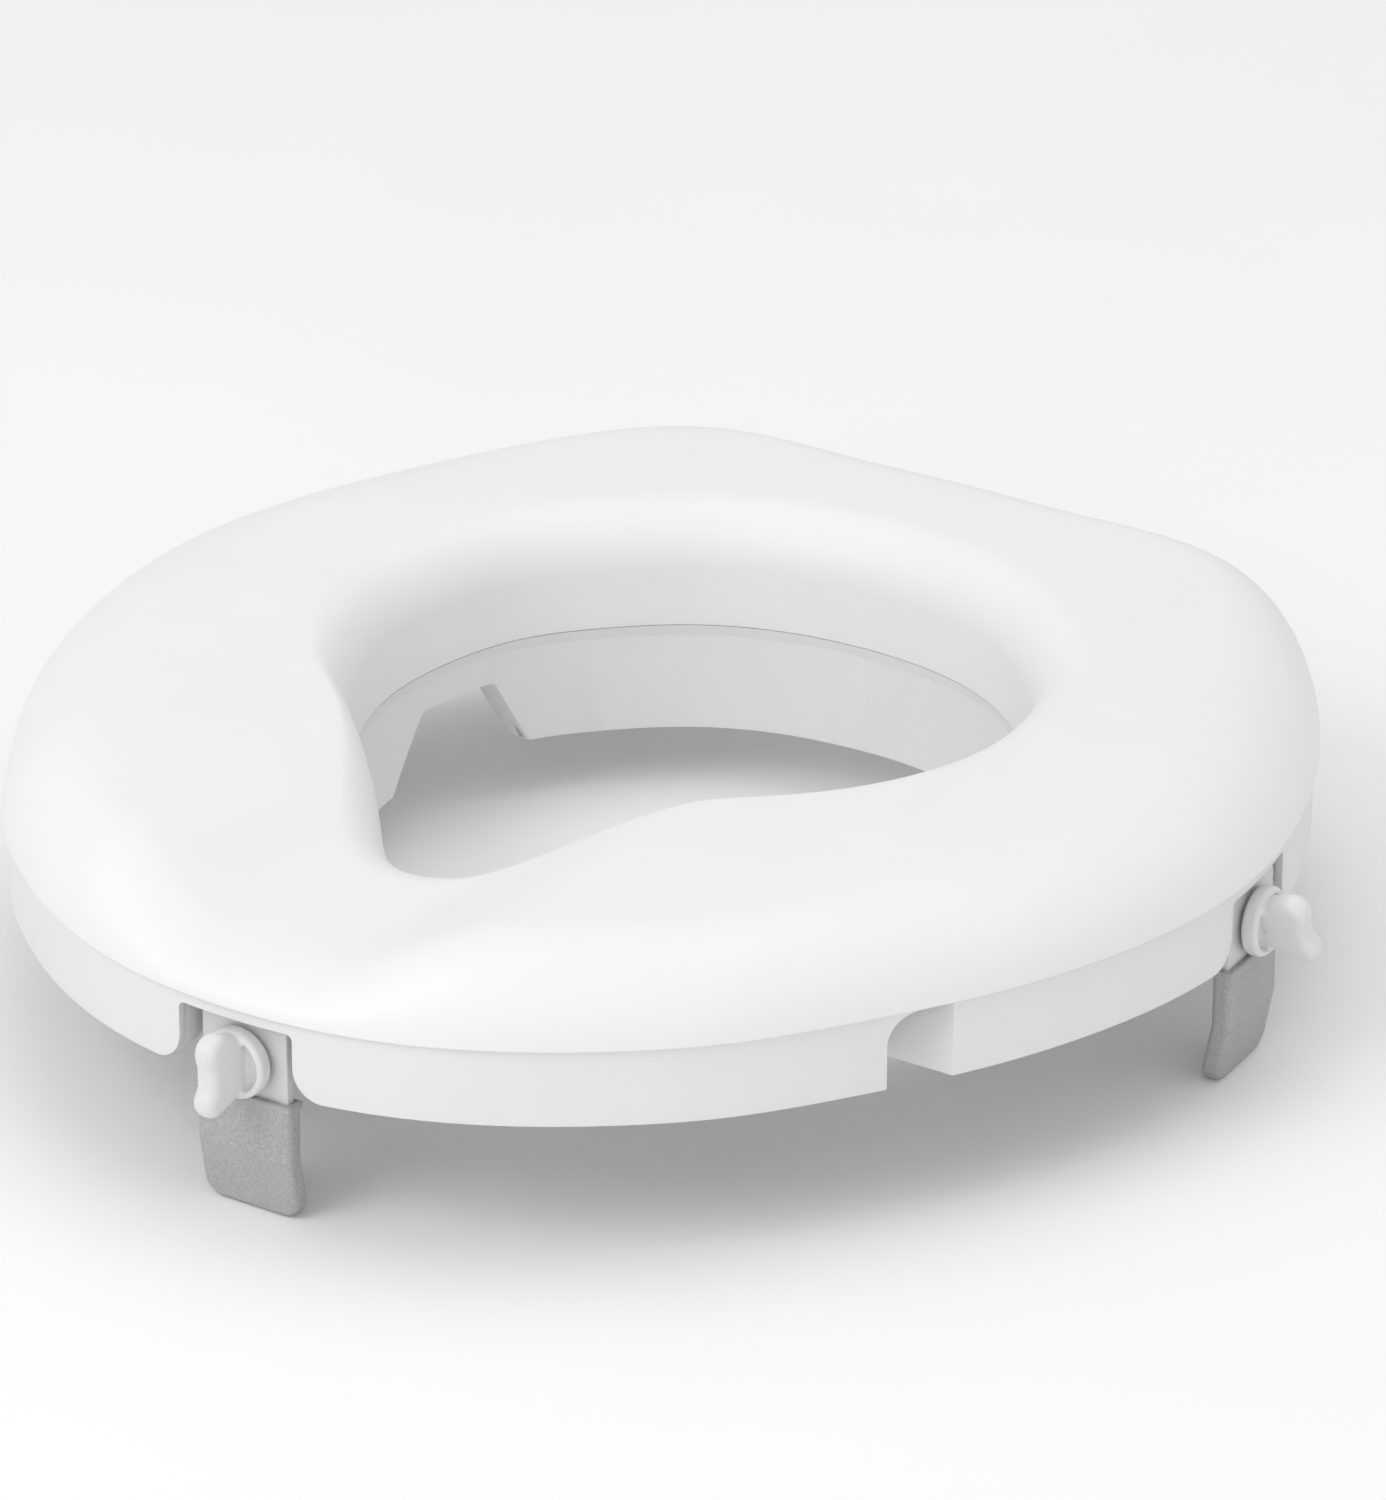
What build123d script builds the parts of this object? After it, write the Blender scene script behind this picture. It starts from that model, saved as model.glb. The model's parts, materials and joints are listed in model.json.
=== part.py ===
from build123d import *
import os
from math import cos, hypot, radians, sin

os.makedirs("parts", exist_ok=True)

# A raised toilet seat, 50 mm high, that rests on the rim of a bowl and is held by three
# clamps.  +X is the sitter's left, +Y the back, +Z up.  z = 0 is the plane that the three
# clamp ends touch when the seat stands on a table.

# ---- seat: plan ----
# Bearings run from the back (0) round to the front (180) about a centre on the mid plane.
centre_y = 26.25
# bearing, hole radius, rim radius, widths of the inner and the outer roll
stations = [
    (0, 103.0, 172.5, 17.5, 23),
    (15, 103.5, 176.5, 17.5, 22),
    (30, 103.5, 190.5, 17.5, 22),
    (45, 102.5, 189.0, 17.5, 28),
    (60, 102.5, 185.0, 17.5, 36),
    (75, 99.5, 184.5, 17.5, 37),
    (90, 97.0, 186.0, 17.5, 37),
    (105, 94.0, 185.5, 16.0, 37),
    (120, 92.5, 186.5, 12.0, 35),
    (132, 92.5, 190.0, 8.0, 32),
    (142, 93.0, 196.5, 7.0, 30),
    (151, 95.0, 201.5, 9.0, 29),
    (160, 101.0, 206.5, 13.0, 29),
    (170, 113.0, 210.5, 18.0, 29),
    (180, 121.0, 211.5, 20.0, 29),
]
HOLE, RIM = 1, 2

# ---- seat: heights ----
parting_z = 63.5  # underside of the upper moulding
crest = 25.5  # top of the seat over the parting plane
inner_drop = 18.5  # height of the roll into the hole
drop_loss = 3.2  # how much less that is where the dip takes the whole crest
lip_depth = 10.6  # the lip in the hole, below the parting plane
wall = 3.0
dip_share = 0.6  # the front dip's share of the crest height
dip_inner, dip_outer = 13.0, 66.0  # half widths of the dip's floor and of its mouth

# ---- base ring ----
groove = 1.2  # gap between the two mouldings at the rim
skirt_bottom = 23.0  # below the parting plane, as are the depths that follow
deck_under = groove + wall
guard_bottom = 44.5
skirt_inset = 1.6

collar_offset = wall + 1.5  # the collar stands just outside the seat's lip
ledge_under = lip_depth + 0.3 + wall
guard_offset = 1.2
window_top, window_fillet = 23.0, 3.0  # windows in the guard
window_y = [centre_y + y for y in (-1.0, 15.0, 44.0, 55.0)]
window_x, window_depth = 80.0, 40.0

# ---- side pockets in the skirt, for the hands ----
pocket_y = (centre_y - 116.0, centre_y - 99.0)
pocket_inner_x, pocket_outer_x = 120.0, 180.0
pocket_front_x, pocket_back_x = 143.0, 156.6
pocket_corner = 9.0

# ---- clamps, in each clamp's own frame: out from the leg's face, down from the parting ----
leg_thickness, bend_r = 3.0, 4.0
leg_width = 28.0
leg_bottom = 60.0
lean_start = 45.0
lean = 0.178  # run over drop of the leg's lower end
tongue_top = 4.5
tongue_end = 53.5
sleeve_top, sleeve_bottom = 28.0, 63.5
sleeve_wall = 1.5
sleeve_width = 31.0
sleeve_corner = 4.0
notch_half, notch_corner, notch_fillet = 18.7, 9.0, 2.0
screw_drop = 17.4
screw_r, screw_end, screw_tip = 2.95, -54.0, 9.0
screw_hole_r = 3.3
nut_bore_r, nut_across, nut_start, nut_height = 3.0, 10.0, -39.2, 5.0
washer_r, washer_height = 6.0, 0.8
clip_r, clip_height = 5.0, 1.0
play = 0.15  # on each side of the leg, between washer and clip
knob_start = 0.95
hub_r, hub_height, hub_edge = 10.1, 5.3, 2.2
wing_thickness, saddle = 7.0, 1.6
lobes = ((13.9, 7.2, 5.1), (15.5, -6.6, 4.5))  # out along the screw, up, radius
rail_start, rail_end = -52.0, -20.0
rail_half, rail_width = 14.4, 8.0
block_start, block_bottom = -40.0, 23.5
guide_gap = 0.3
side_turn = radians(5)
# name, foot of the leg's outer face on the clamp's middle plane, outward direction
clamps = [
    ("front", (0.0, centre_y - 205.0), (0.0, -1.0)),
    ("left", (180.0, centre_y + 20.0), (cos(side_turn), sin(side_turn))),
    ("right", (-180.0, centre_y + 20.0), (-cos(side_turn), sin(side_turn))),
]
wing_turns = {"front": 0, "left": 25, "right": -40}  # the knobs at rest, about their screws

# ---- fasteners and buffers ----
post_bearings = (15, 66, 115, 158)
post_inset, post_r, post_top = 32.0, 5.0, 23.2
pilot_r, shank_r, screw_pass_r = 1.9, 1.85, 2.3
head_r, head_height = 3.8, 2.6
assembly_length, guide_length = 15.0, 17.5
buffer_bearings = (40, 140)
buffer_inset, buffer_r, buffer_height = 46.0, 10.0, 4.0
buffer_under = 26.0
stem_r, stem_length, foot_wall = 4.0, 6.0, 1.0
head_recess = 3.0
pilot_depth = 6.0
slot_length, slot_width, slot_depth = 4.4, 1.1, 1.2
notch_depth = 12.0


def save(piece, name):
    piece.label = name
    export_step(piece, f"parts/{name}.step")


def polar(bearing, radius):
    b = radians(bearing)
    return (radius * sin(b), centre_y + radius * cos(b))


def radius_at(bearing, column):
    for low, high in zip(stations, stations[1:]):
        if low[0] <= bearing <= high[0]:
            share = (bearing - low[0]) / (high[0] - low[0])
            return low[column] + share * (high[column] - low[column])


def ring_face(column, growth, mode=Mode.ADD):
    """Face inside the hole's or the rim's outline, grown outwards by growth."""
    right = [polar(row[0], row[column] + growth) for row in stations]
    left = [(-x, y) for x, y in reversed(right[1:-1])]
    with BuildLine() as outline:
        Spline(*right, *left, periodic=True)
    make_face(outline.edges(), mode=mode)


def smooth(share):
    share = min(max(share, 0.0), 1.0)
    return share * share * (3 - 2 * share)


def crest_share(bearing, radius):
    """What the front dip leaves of a height over the parting plane."""
    if bearing < 90:
        return 1.0
    across = abs(radius * sin(radians(bearing)))
    return 1.0 - dip_share * (1.0 - smooth((across - dip_inner) / (dip_outer - dip_inner)))


def top_curve(bearing, hole, rim, inner_roll, outer_roll):
    """Points (radius, height) over the seat, from the rim to the foot of the hole's roll."""
    steps = 6
    points = []
    for i in range(steps + 1):
        a = radians(90 * i / steps)
        radius = rim - outer_roll * (1 - cos(a))
        points.append((radius, crest * sin(a) * crest_share(bearing, radius)))
    start, end = rim - outer_roll, hole + inner_roll
    for i in (1, 2, 3):
        radius = start + (end - start) * i / 4
        points.append((radius, crest * crest_share(bearing, radius)))
    for i in range(steps + 1):
        a = radians(90 - 90 * i / steps)
        radius = hole + inner_roll * (1 - cos(a))
        share = crest_share(bearing, radius)
        drop = inner_drop - drop_loss * (1 - share)
        points.append((radius, crest * share - drop * (1 - sin(a))))
    return points


def inset_curve(points, depth):
    """The same curve moved by depth towards the inside of the moulding."""
    moved = [(points[0][0] - depth, points[0][1])]
    for before, here, after in zip(points, points[1:], points[2:]):
        dr, dh = after[0] - before[0], after[1] - before[1]
        length = hypot(dr, dh)
        moved.append((here[0] - depth * dh / length, here[1] + depth * dr / length))
    moved.append((points[-1][0] + depth, points[-1][1]))
    return moved


def clamp_planes(foot, outward):
    """A clamp's planes: its middle, its leg's outer face, and the parting plane."""
    ox, oy = outward
    origin = (foot[0], foot[1], parting_z)
    side = Plane(origin=origin, x_dir=(ox, oy, 0), z_dir=(oy, -ox, 0))
    face = Plane(origin=origin, x_dir=(-oy, ox, 0), z_dir=(ox, oy, 0))
    plan = Plane(origin=origin, x_dir=(ox, oy, 0), z_dir=(0, 0, 1))
    return side, face, plan


def wing_plane(foot, outward, turn):
    """The middle plane of a knob's wing, turned about its screw from upright."""
    ox, oy = outward
    t = radians(turn)
    origin = (foot[0], foot[1], parting_z - screw_drop)
    return Plane(origin=origin, x_dir=(ox, oy, 0), z_dir=(oy * cos(t), -ox * cos(t), -sin(t)))


post_places = []
for bearing in post_bearings:
    x, y = polar(bearing, radius_at(bearing, RIM) - post_inset)
    post_places += [(x, y), (-x, y)]
buffer_places = []
for row, bearing in zip(("back", "front"), buffer_bearings):
    x, y = polar(bearing, radius_at(bearing, RIM) - buffer_inset)
    buffer_places += [(f"{row}_left", (x, y)), (f"{row}_right", (-x, y))]
rail_v = rail_half + rail_width / 2
guide_screw_uv = [((block_start + rail_end) / 2, v) for v in (rail_v, -rail_v)]


# ---- upper moulding: the seat ----
with BuildPart() as seat_shell:
    for bearing, hole, rim, inner_roll, outer_roll in stations:
        b = radians(bearing)
        section_plane = Plane(
            origin=(0, centre_y, parting_z), x_dir=(sin(b), cos(b), 0), z_dir=(cos(b), -sin(b), 0)
        )
        over = top_curve(bearing, hole, rim, inner_roll, outer_roll)
        under = inset_curve(over, wall)
        with BuildSketch(section_plane):
            with BuildLine():
                Spline(*over)
                Line(over[-1], (hole, -lip_depth))
                Line((hole, -lip_depth), (hole + wall, -lip_depth))
                Line((hole + wall, -lip_depth), under[-1])
                Spline(*under[::-1])
                Line(under[0], over[0])
            make_face()
    loft()
    mirror(about=Plane.YZ)
    with BuildSketch(Plane.XY.offset(parting_z - groove)):
        with Locations(*post_places):
            Circle(post_r)
    extrude(amount=groove + post_top)
    with BuildSketch(Plane.XY.offset(parting_z - groove)):
        with Locations(*post_places):
            Circle(pilot_r)
    extrude(amount=assembly_length, mode=Mode.SUBTRACT)
save(seat_shell.part, "seat_shell")

# ---- lower moulding: deck, skirt, splash guard, pockets and clamp guides ----
with BuildPart() as base_ring:
    with BuildSketch(Plane.XY.offset(parting_z - deck_under)):
        ring_face(RIM, -skirt_inset)
    extrude(amount=wall)
    with BuildSketch(Plane.XY.offset(parting_z - skirt_bottom)):
        ring_face(RIM, -skirt_inset)
        ring_face(RIM, -skirt_inset - wall, mode=Mode.SUBTRACT)
    extrude(amount=skirt_bottom - deck_under)
    # the clamps' notches in the skirt, with rounded corners at their mouths
    for _, foot, outward in clamps:
        side, face, plan = clamp_planes(foot, outward)
        with BuildSketch(face.offset(-notch_depth)):
            mouth = notch_half + notch_corner
            with BuildLine():
                TangentArc(
                    (-mouth, -skirt_bottom), (-notch_half, notch_corner - skirt_bottom), tangent=(1, 0)
                )
                Polyline(
                    (-notch_half, notch_corner - skirt_bottom),
                    (-notch_half, -deck_under),
                    (notch_half, -deck_under),
                    (notch_half, notch_corner - skirt_bottom),
                )
                TangentArc(
                    (notch_half, notch_corner - skirt_bottom), (mouth, -skirt_bottom), tangent=(0, -1)
                )
                Line((mouth, -skirt_bottom), (-mouth, -skirt_bottom))
            notch = make_face()
            fillet(notch.vertices().group_by(Axis.Y)[-1], notch_fillet)
        extrude(amount=2 * notch_depth, mode=Mode.SUBTRACT)
    # walls of the two side pockets, which end inside the skirt's wall
    with BuildSketch(Plane.XY.offset(parting_z - skirt_bottom)):
        for side in (1, -1):
            with BuildLine():
                Polyline(
                    (side * (pocket_inner_x - wall), pocket_y[0] - wall),
                    (side * pocket_front_x, pocket_y[0] - wall),
                    (side * pocket_back_x, pocket_y[1] + wall),
                    (side * (pocket_inner_x - wall), pocket_y[1] + wall),
                    close=True,
                )
            make_face()
    extrude(amount=skirt_bottom - deck_under)
    # the pockets themselves, open to the outside and below
    for side in (1, -1):
        with BuildSketch(Plane.YZ.offset(side * pocket_inner_x)):
            with Locations((sum(pocket_y) / 2, parting_z - (skirt_bottom + groove) / 2)):
                pocket = Rectangle(pocket_y[1] - pocket_y[0], skirt_bottom - groove)
            fillet(pocket.vertices().group_by(Axis.Y)[-1].sort_by(Axis.X)[0], pocket_corner)
        extrude(amount=side * (pocket_outer_x - pocket_inner_x), mode=Mode.SUBTRACT)
    # the hole, its collar behind the seat's lip, the ledge under the lip and the guard
    with BuildSketch(Plane.XY.offset(parting_z - guard_bottom)):
        ring_face(HOLE, collar_offset)
    extrude(amount=guard_bottom, mode=Mode.SUBTRACT)
    with BuildSketch(Plane.XY.offset(parting_z - ledge_under)):
        ring_face(HOLE, collar_offset + wall)
        ring_face(HOLE, collar_offset, mode=Mode.SUBTRACT)
    extrude(amount=ledge_under - groove)
    with BuildSketch(Plane.XY.offset(parting_z - ledge_under)):
        ring_face(HOLE, collar_offset + wall)
        ring_face(HOLE, guard_offset, mode=Mode.SUBTRACT)
    extrude(amount=wall)
    with BuildSketch(Plane.XY.offset(parting_z - guard_bottom)):
        ring_face(HOLE, guard_offset + wall)
        ring_face(HOLE, guard_offset, mode=Mode.SUBTRACT)
    extrude(amount=guard_bottom - ledge_under + wall)
    # screw holes under the posts
    with BuildSketch(Plane.XY.offset(parting_z - deck_under)):
        with Locations(*post_places):
            Circle(screw_pass_r)
    extrude(amount=wall, mode=Mode.SUBTRACT)
    # feet that hold the rubber buffers
    with BuildSketch(Plane.XY.offset(parting_z - buffer_under + buffer_height)):
        with Locations(*[place for _, place in buffer_places]):
            Circle(buffer_r + foot_wall)
    extrude(amount=buffer_under - buffer_height - deck_under)
    with BuildSketch(Plane.XY.offset(parting_z - buffer_under + buffer_height)):
        with Locations(*[place for _, place in buffer_places]):
            Circle(stem_r)
    extrude(amount=stem_length + foot_wall, mode=Mode.SUBTRACT)
    for _, foot, outward in clamps:
        side, face, plan = clamp_planes(foot, outward)
        # rails either side of the bracket's tongue, with pilot holes for the guide block
        with BuildSketch(plan.offset(-tongue_top - leg_thickness - guide_gap)):
            for v in (rail_v, -rail_v):
                with Locations(((rail_start + rail_end) / 2, v)):
                    Rectangle(rail_end - rail_start, rail_width)
        extrude(amount=tongue_top + leg_thickness + guide_gap - deck_under)
        with BuildSketch(plan.offset(-tongue_top - leg_thickness - guide_gap)):
            with Locations(*guide_screw_uv):
                Circle(pilot_r)
        extrude(amount=pilot_depth, mode=Mode.SUBTRACT)
    # matching windows in the splash guard, behind the two side clamps
    for side in (1, -1):
        with BuildSketch(Plane.YZ.offset(side * window_x)):
            with BuildLine():
                Polyline(
                    (window_y[0], parting_z - guard_bottom),
                    (window_y[1], parting_z - window_top),
                    (window_y[2], parting_z - window_top),
                    (window_y[3], parting_z - guard_bottom),
                    close=True,
                )
            window = make_face()
            fillet(window.vertices().group_by(Axis.Y)[-1], window_fillet)
        extrude(amount=side * window_depth, mode=Mode.SUBTRACT)
save(base_ring.part, "base_ring")

# ---- rubber buffers that rest on the bowl's rim ----
for name, place in buffer_places:
    with BuildPart() as rim_buffer:
        with BuildSketch(Plane.XY.offset(parting_z - buffer_under)):
            with Locations(place):
                Circle(buffer_r)
        extrude(amount=buffer_height)
        chamfer(rim_buffer.edges().group_by(Axis.Z)[0], 0.8)
        with BuildSketch(Plane.XY.offset(parting_z - buffer_under + buffer_height)):
            with Locations(place):
                Circle(stem_r)
        extrude(amount=stem_length)
    save(rim_buffer.part, f"rim_buffer_{name}")

# ---- screws that join the two mouldings, from below ----
with BuildPart() as assembly_screws:
    with BuildSketch(Plane.XY.offset(parting_z - deck_under)):
        with Locations(*post_places):
            Circle(head_r)
    extrude(amount=-head_height)
    fillet(assembly_screws.edges().group_by(Axis.Z)[0], 1.2)
    with BuildSketch(Plane.XY.offset(parting_z - deck_under)):
        with Locations(*post_places):
            Circle(shank_r)
    extrude(amount=assembly_length)
    with BuildSketch(Plane.XY.offset(parting_z - deck_under - head_height)):
        for x, y in post_places:
            with Locations((x, y)):
                Rectangle(slot_length, slot_width)
                Rectangle(slot_width, slot_length)
    extrude(amount=slot_depth, mode=Mode.SUBTRACT)
save(assembly_screws.part, "assembly_screws")

# ---- screws that hold the three guide blocks, from below ----
with BuildPart() as guide_screws:
    for _, foot, outward in clamps:
        side, face, plan = clamp_planes(foot, outward)
        with BuildSketch(plan.offset(-block_bottom + head_recess)):
            with Locations(*guide_screw_uv):
                Circle(head_r)
        extrude(amount=-head_height)
        with BuildSketch(plan.offset(-block_bottom + head_recess)):
            with Locations(*guide_screw_uv):
                Circle(shank_r)
        extrude(amount=guide_length)
        with BuildSketch(plan.offset(-block_bottom + head_recess - head_height)):
            for u, v in guide_screw_uv:
                with Locations((u, v)):
                    Rectangle(slot_length, slot_width)
                    Rectangle(slot_width, slot_length)
        extrude(amount=slot_depth, mode=Mode.SUBTRACT)
save(guide_screws.part, "guide_screws")

# ---- the three clamps ----
for name, foot, outward in clamps:
    side, face, plan = clamp_planes(foot, outward)
    lean_run = lean * (leg_bottom - lean_start)
    sleeve_run = lean * (sleeve_bottom - lean_start)

    # steel bracket: a tongue that slides under the deck and a leg that hangs outside the bowl
    with BuildPart() as bracket:
        with BuildSketch(side):
            with BuildLine():
                Polyline(
                    (-tongue_end, -tongue_top),
                    (0, -tongue_top),
                    (0, -lean_start),
                    (-lean_run, -leg_bottom),
                    (-lean_run - leg_thickness, -leg_bottom),
                    (-leg_thickness, -lean_start),
                    (-leg_thickness, -tongue_top - leg_thickness),
                    (-tongue_end, -tongue_top - leg_thickness),
                    close=True,
                )
            profile = make_face()
            fillet(
                profile.vertices().filter_by_position(Axis.Y, -tongue_top, -tongue_top).sort_by(Axis.X)[-1],
                bend_r,
            )
        extrude(amount=leg_width / 2, both=True)
        with BuildSketch(face):
            with Locations((0, -screw_drop)):
                Circle(screw_hole_r)
        extrude(amount=-leg_thickness, mode=Mode.SUBTRACT)
    save(bracket.part, f"bracket_{name}")

    # rubber sleeve over the leg's lower end
    with BuildPart() as sleeve:
        with BuildSketch(side):
            with BuildLine():
                Polyline(
                    (sleeve_wall, -sleeve_top),
                    (sleeve_wall, -lean_start),
                    (sleeve_wall - sleeve_run, -sleeve_bottom),
                    (-leg_thickness - sleeve_wall - sleeve_run, -sleeve_bottom),
                    (-leg_thickness - sleeve_wall, -lean_start),
                    (-leg_thickness - sleeve_wall, -sleeve_top),
                    close=True,
                )
            make_face()
        extrude(amount=sleeve_width / 2, both=True)
        bottom_corners = [
            e for e in sleeve.edges().group_by(Axis.Z)[0] if abs(e.tangent_at(0).dot(side.z_dir)) < 0.1
        ]
        fillet(bottom_corners, sleeve_corner)
        add(bracket.part, mode=Mode.SUBTRACT)
    save(sleeve.part, f"sleeve_{name}")

    # threaded stud moulded into the knob
    with BuildPart() as clamp_screw:
        with BuildSketch(face.offset(screw_end)):
            with Locations((0, -screw_drop)):
                Circle(screw_r)
        extrude(amount=screw_tip - screw_end)
        chamfer(clamp_screw.edges().sort_by(Axis(foot + (0,), outward + (0,)))[0], 0.8)
    save(clamp_screw.part, f"clamp_screw_{name}")

    # white knob: a round hub with a two-lobed thumb wing
    with BuildPart() as knob:
        with BuildSketch(face.offset(knob_start)):
            with Locations((0, -screw_drop)):
                Circle(hub_r)
        extrude(amount=hub_height)
        hub_rim = knob.edges().sort_by(Axis(foot + (0,), outward + (0,)))[-1]
        fillet(hub_rim, hub_edge)
        with BuildSketch(wing_plane(foot, outward, wing_turns[name])):
            for out, up, radius in lobes:
                with Locations((out, up)):
                    Circle(radius)
            with BuildLine():
                Polyline(
                    (knob_start, hub_r - hub_edge),
                    (lobes[0][0], lobes[0][1] + lobes[0][2]),
                    (lobes[0][0] + lobes[0][2], lobes[0][1]),
                    (lobes[1][0] + lobes[1][2] - saddle, 0),
                    (lobes[1][0] + lobes[1][2], lobes[1][1]),
                    (lobes[1][0], lobes[1][1] - lobes[1][2]),
                    (knob_start, hub_edge - hub_r),
                    close=True,
                )
            make_face()
        extrude(amount=wing_thickness / 2, both=True)
        with BuildSketch(face.offset(knob_start)):
            with Locations((0, -screw_drop)):
                Circle(screw_r)
        extrude(amount=screw_tip - knob_start, mode=Mode.SUBTRACT)
    save(knob.part, f"knob_{name}")

    # washer in front of the leg and retaining clip behind it, both on the stud
    for piece, radius, start, height in (
        ("washer", washer_r, play, washer_height),
        ("retaining_clip", clip_r, -leg_thickness - play - clip_height, clip_height),
    ):
        with BuildPart() as disc:
            with BuildSketch(face.offset(start)):
                with Locations((0, -screw_drop)):
                    Circle(radius)
                    Circle(screw_r, mode=Mode.SUBTRACT)
            extrude(amount=height)
        save(disc.part, f"{piece}_{name}")

    # hexagon nut that the stud turns in
    with BuildPart() as nut:
        with BuildSketch(face.offset(nut_start)):
            with Locations((0, -screw_drop)):
                RegularPolygon(nut_across / 2, 6, major_radius=False)
                Circle(nut_bore_r, mode=Mode.SUBTRACT)
        extrude(amount=nut_height)
    save(nut.part, f"captive_nut_{name}")

    # block under the tongue, which holds the nut and closes the guide
    with BuildPart() as guide_block:
        with BuildSketch(plan.offset(-block_bottom)):
            with Locations(((block_start + rail_end) / 2, 0)):
                Rectangle(rail_end - block_start, 2 * (rail_half + rail_width))
        extrude(amount=block_bottom - tongue_top - leg_thickness - guide_gap)
        with BuildSketch(face.offset(block_start)):
            with Locations((0, -screw_drop)):
                Circle(screw_hole_r)
        extrude(amount=rail_end - block_start, mode=Mode.SUBTRACT)
        with BuildSketch(face.offset(block_start)):
            with Locations((0, -screw_drop)):
                RegularPolygon(nut_across / 2 + 0.05, 6, major_radius=False)
        extrude(amount=nut_start + nut_height - block_start, mode=Mode.SUBTRACT)
        with BuildSketch(plan.offset(-block_bottom)):
            with Locations(*guide_screw_uv):
                Circle(screw_pass_r)
        extrude(amount=block_bottom, mode=Mode.SUBTRACT)
        with BuildSketch(plan.offset(-block_bottom)):
            with Locations(*guide_screw_uv):
                Circle(head_r + 0.3)
        extrude(amount=head_recess, mode=Mode.SUBTRACT)
    save(guide_block.part, f"guide_block_{name}")
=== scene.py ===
import json
from math import cos, pi, radians, sin

import bmesh
import bpy
import numpy as np
from mathutils import Matrix, Vector

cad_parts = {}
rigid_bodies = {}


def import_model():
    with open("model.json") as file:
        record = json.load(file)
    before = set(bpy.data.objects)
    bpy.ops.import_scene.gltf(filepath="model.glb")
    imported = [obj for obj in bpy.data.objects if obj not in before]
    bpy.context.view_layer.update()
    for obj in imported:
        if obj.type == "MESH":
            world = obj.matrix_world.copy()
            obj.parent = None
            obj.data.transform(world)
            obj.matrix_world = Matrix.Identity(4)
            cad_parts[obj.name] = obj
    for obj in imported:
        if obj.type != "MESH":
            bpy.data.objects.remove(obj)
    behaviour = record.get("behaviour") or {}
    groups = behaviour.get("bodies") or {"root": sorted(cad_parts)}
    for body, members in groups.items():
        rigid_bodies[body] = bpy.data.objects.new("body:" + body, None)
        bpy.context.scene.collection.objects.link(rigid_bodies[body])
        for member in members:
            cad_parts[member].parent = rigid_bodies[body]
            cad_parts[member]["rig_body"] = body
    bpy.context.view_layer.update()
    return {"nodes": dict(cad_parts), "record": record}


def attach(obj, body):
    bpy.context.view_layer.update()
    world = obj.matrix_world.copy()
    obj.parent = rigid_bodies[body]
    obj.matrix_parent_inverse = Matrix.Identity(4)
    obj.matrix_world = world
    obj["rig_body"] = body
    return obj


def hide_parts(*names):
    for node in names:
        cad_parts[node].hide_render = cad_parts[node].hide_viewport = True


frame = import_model()
MM = 0.001

# ---- the seat's outline, as in the CAD (mm): bearing from the back, hole, rim, the two rolls ----
CENTRE_Y = 26.25
STATIONS = [
    (0, 103.0, 172.5, 17.5, 23),
    (15, 103.5, 176.5, 17.5, 22),
    (30, 103.5, 190.5, 17.5, 22),
    (45, 102.5, 189.0, 17.5, 28),
    (60, 102.5, 185.0, 17.5, 36),
    (75, 99.5, 184.5, 17.5, 37),
    (90, 97.0, 186.0, 17.5, 37),
    (105, 94.0, 185.5, 16.0, 37),
    (120, 92.5, 186.5, 12.0, 35),
    (132, 92.5, 190.0, 8.0, 32),
    (142, 93.0, 196.5, 7.0, 30),
    (151, 95.0, 201.5, 9.0, 29),
    (160, 101.0, 206.5, 13.0, 29),
    (170, 113.0, 210.5, 18.0, 29),
    (180, 121.0, 211.5, 20.0, 29),
]
HOLE, RIM, INNER_ROLL, OUTER_ROLL = 1, 2, 3, 4
PARTING = 63.5
CREST = 25.5
INNER_DROP, DROP_LOSS = 18.5, 3.2
LIP_DEPTH = 10.6
WALL = 3.0
HEM = 0.6  # how far the seat's edge reaches below the parting plane
SEAT_EDGE = 0.5  # radius of the moulding's lower edges
DIP_SHARE = 0.6
DIP_INNER, DIP_OUTER = 13.0, 66.0

# ---- the base ring (mm), heights from the parting plane down ----
DECK_UNDER, SKIRT_BOTTOM = 4.2, 23.0
NOTCH_HALF, NOTCH_CORNER = 18.7, 9.0
CHEEK_START = {"front": 1.6, "left": -0.8, "right": -0.8}
CHEEK_WALL, CHEEK_DEPTH, CHEEK_LAP = 2.6, 9.5, 0.6
GUARD_OFFSET, GUARD_BOTTOM = 1.2, 44.5
WINDOW_TOP, WINDOW_Y, WINDOW_CORNER = 23.0, (-1, 15, 44, 55), 3.0
WINDOW_WALL, WINDOW_DEPTH, WINDOW_LAP = 2.4, 7.0, 1.2
BEAD_GAP, BEAD_DEPTH, BEAD_LAP = 0.1, 5.2, 1.0
BEAD_FACE, BEAD_FOOT, BEAD_BACK = 0.2, 1.6, 2.2  # outwards from the hole's wall
RETURN_EDGE = 0.6  # width of the softened edges of cheeks and window walls

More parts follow.
